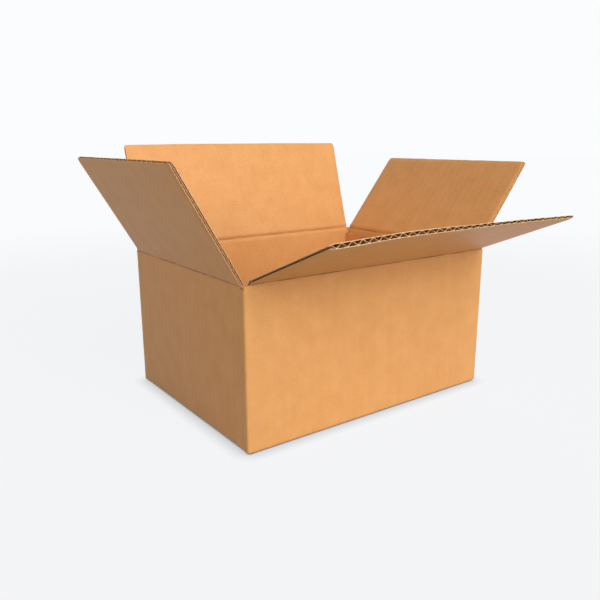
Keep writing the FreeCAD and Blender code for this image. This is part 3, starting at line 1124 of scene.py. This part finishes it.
@dataclass(frozen=True)
class StudioPaper:
    """A matt white floor that runs into the backdrop and keeps the object's shadow."""

    name: str = "studio floor paper"
    surface: str = "#B0B0AF"
    seen: str = "#FAFBFD"
    # How much of the seen colour shows near the object, where the rest is lit paper,
    # and from where to where this share rises to the whole, in metres.
    plain: float = 0.90
    fade_from: float = 0.35
    fade_to: float = 1.1
    # The contact shadow: its reach in metres, and what it leaves of the light.
    contact: float = 0.010
    contact_depth: float = 0.45

    def make(self) -> bpy.types.Material:
        """Build the material's nodes.

        Returns:
            The material.
        """
        material, tree = new_material(self.name)
        seen = seen_rays(tree)
        spot = add_node(tree, "ShaderNodeTexCoord").outputs["Object"]
        far = add_node(tree, "ShaderNodeVectorMath", operation="LENGTH", links={0: spot})
        plain = add_node(tree, "ShaderNodeMapRange", interpolation_type="SMOOTHSTEP",
                         links={0: far.outputs["Value"]}, values={
                             1: self.fade_from, 2: self.fade_to, 3: self.plain, 4: 1.0})
        share = add_node(tree, "ShaderNodeMath", operation="MULTIPLY", links={
            0: seen, 1: plain.outputs[0]})
        # Fine tooth of the paper, 0.8 mm.
        tooth = add_node(tree, "ShaderNodeTexNoise", values={"Scale": 1 / (0.8 * MM)},
                         links={"Vector": spot})
        bump = add_node(tree, "ShaderNodeBump", links={"Height": tooth.outputs[0]},
                        values={"Strength": 0.1, "Distance": 0.02 * MM})
        matt = add_node(tree, "ShaderNodeBsdfDiffuse", links={"Normal": bump.outputs[0]},
                        values={"Color": linear(self.surface), "Roughness": 0.5})
        corner = add_node(tree, "ShaderNodeAmbientOcclusion", samples=16,
                          values={"Distance": self.contact})
        open_sky = add_node(tree, "ShaderNodeMapRange", links={0: corner.outputs["AO"]},
                            values={3: self.contact_depth, 4: 1.0})
        # Under the box no light comes in, so the slot in its bottom stays dark.
        under = add_node(tree, "ShaderNodeMapRange", interpolation_type="SMOOTHSTEP",
                         links={0: corner.outputs["AO"]},
                         values={1: 0.08, 2: 0.35, 3: 0.06, 4: 1.0})
        light = add_node(tree, "ShaderNodeMath", operation="MULTIPLY", links={
            0: open_sky.outputs[0], 1: under.outputs[0]})
        glow = add_node(tree, "ShaderNodeEmission", links={"Strength": light.outputs[0]},
                        values={"Color": linear(self.seen)})
        mixed = add_node(tree, "ShaderNodeMixShader", links={
            0: share.outputs[0], 1: matt.outputs[0], 2: glow.outputs[0]})
        add_node(tree, "ShaderNodeOutputMaterial", links={"Surface": mixed.outputs[0]})
        return material


@dataclass
class Studio:
    """The floor, the lights and the camera."""

    camera_place: tuple[float, float, float] = (-269.1, -359.8, 176.3)
    azimuth: float = -35.93
    elevation: float = 14.23
    roll: float = -0.2
    # 630.8 pixels of focal length on a frame of 600.
    lens: float = 37.85
    # The lamps' names, places in metres and powers in watts.
    lamps: Sequence[tuple[str, tuple[float, float, float], float]] = (
        ("low_key", (0.42, -1.73, 0.65), 17.5),
        ("high_key", (0.12, -1.34, 1.34), 15.5),
        ("left_fill", (-1.26, -1.06, 0.95), 12.5),
        ("back_light", (1.13, 1.35, 0.71), 15.0))
    # The lamps are squares this wide and face a point this high, in metres.
    lamp_size: float = 1.2
    aim_height: float = 0.07

    def build(self) -> None:
        """Set the floor, the lights, the sky and the camera."""
        self.lay_floor()
        self.hang_lamps()
        self.fill_sky()
        self.set_camera()
        bpy.context.scene.view_settings.view_transform = "Standard"

    def lay_floor(self) -> None:
        """Lay a wide pale floor."""
        clear_selection()
        bpy.ops.mesh.primitive_plane_add(size=12.0, location=(0.0, 0.0, 0.0))
        floor = bpy.context.object
        floor.name = "studio_floor"
        floor.data.materials.append(StudioPaper().make())

    def hang_lamps(self) -> None:
        """Hang three large soft lamps in front and one behind."""
        for name, place, power in self.lamps:
            clear_selection()
            bpy.ops.object.light_add(type="AREA", location=place)
            lamp = bpy.context.object
            lamp.name = name
            lamp.data.shape = "SQUARE"
            lamp.data.size = self.lamp_size
            lamp.data.energy = power
            away = Vector(place) - Vector((0.0, 0.0, self.aim_height))
            lamp.rotation_euler = away.to_track_quat("Z", "Y").to_euler()

    def fill_sky(self) -> None:
        """Light the scene evenly from all round, and show the camera a pale backdrop."""
        world = bpy.data.worlds.new("studio_sky")
        bpy.context.scene.world = world
        world.use_nodes = True
        tree = world.node_tree
        tree.nodes.clear()
        light = add_node(tree, "ShaderNodeBackground", values={
            "Color": linear("#F4F6FA"), "Strength": 0.12})
        backdrop = add_node(tree, "ShaderNodeBackground", values={
            "Color": linear("#FBFCFE"), "Strength": 1.0})
        mixed = add_node(tree, "ShaderNodeMixShader", links={
            0: seen_rays(tree), 1: light.outputs[0], 2: backdrop.outputs[0]})
        add_node(tree, "ShaderNodeOutputWorld", links={"Surface": mixed.outputs[0]})

    def set_camera(self) -> None:
        """Set the camera at the photograph's viewing angle."""
        turn = math.radians(self.azimuth)
        rise = math.radians(self.elevation)
        tilt = math.radians(self.roll)
        back = Vector((math.sin(turn) * math.cos(rise), -math.cos(turn) * math.cos(rise),
                       math.sin(rise)))
        level = Vector((0.0, 0.0, 1.0)).cross(back).normalized()
        upright = back.cross(level)
        right = math.cos(tilt) * level + math.sin(tilt) * upright
        up = back.cross(right)
        clear_selection()
        bpy.ops.object.camera_add()
        camera = bpy.context.object
        camera.name = "photo_camera"
        camera.matrix_world = Matrix.Translation(Vector(self.camera_place) * MM) @ Matrix(
            (right, up, back)).transposed().to_4x4()
        camera.data.lens = self.lens
        camera.data.sensor_width = 36.0
        camera.data.clip_start = 0.01
        bpy.context.scene.camera = camera


# Bows are read from the photograph: rows from the crease up, columns along the crease.
FLAT = (0.0, 0.0, 0.0, 0.0, 0.0)


def main() -> None:
    """Build the carton, dress it and set up the studio."""
    logging.basicConfig(level=logging.INFO, format="%(name)s %(message)s")
    finish = BoardFinish()
    finish.prepare()
    CartonWalls(finish).build()
    GlueTab(finish).build()
    for side in Side:
        BottomFlap(side, finish).build()
    TopFlap(Side.FRONT, 68.4, finish, rise=-1.0, bow=(
        FLAT, (0.0, -0.4, -0.4, -0.3, 0.0), (0.0, -0.95, -0.85, -0.6, 0.0),
        (0.0, -1.45, -1.3, -0.9, 0.0)), free_shares=(1.0, 0.95, 0.8, 0.6, 0.5),
        peeled=17.0).build()
    TopFlap(Side.RIGHT, 38.4, finish, rise=1.0, free_shares=(0.7,) * 5).build()
    TopFlap(Side.BACK, 16.5, finish, rise=-1.0, trim=0.5, bow=(
        FLAT, (0.0, -0.3, -0.4, -0.3, 0.0), (-0.3, -0.8, -0.9, -0.9, -0.4),
        (-0.8, -1.6, -1.6, -1.6, 0.0)), free_shares=(0.7,) * 5, worn=(1.8, 1.0)).build()
    TopFlap(Side.LEFT, 29.8, finish, rise=1.0, slot_share=0.8,
            free_shares=(0.6, 0.65, 0.8, 0.8, 0.8)).build()
    Studio().build()


if __name__ == "__main__":
    main()
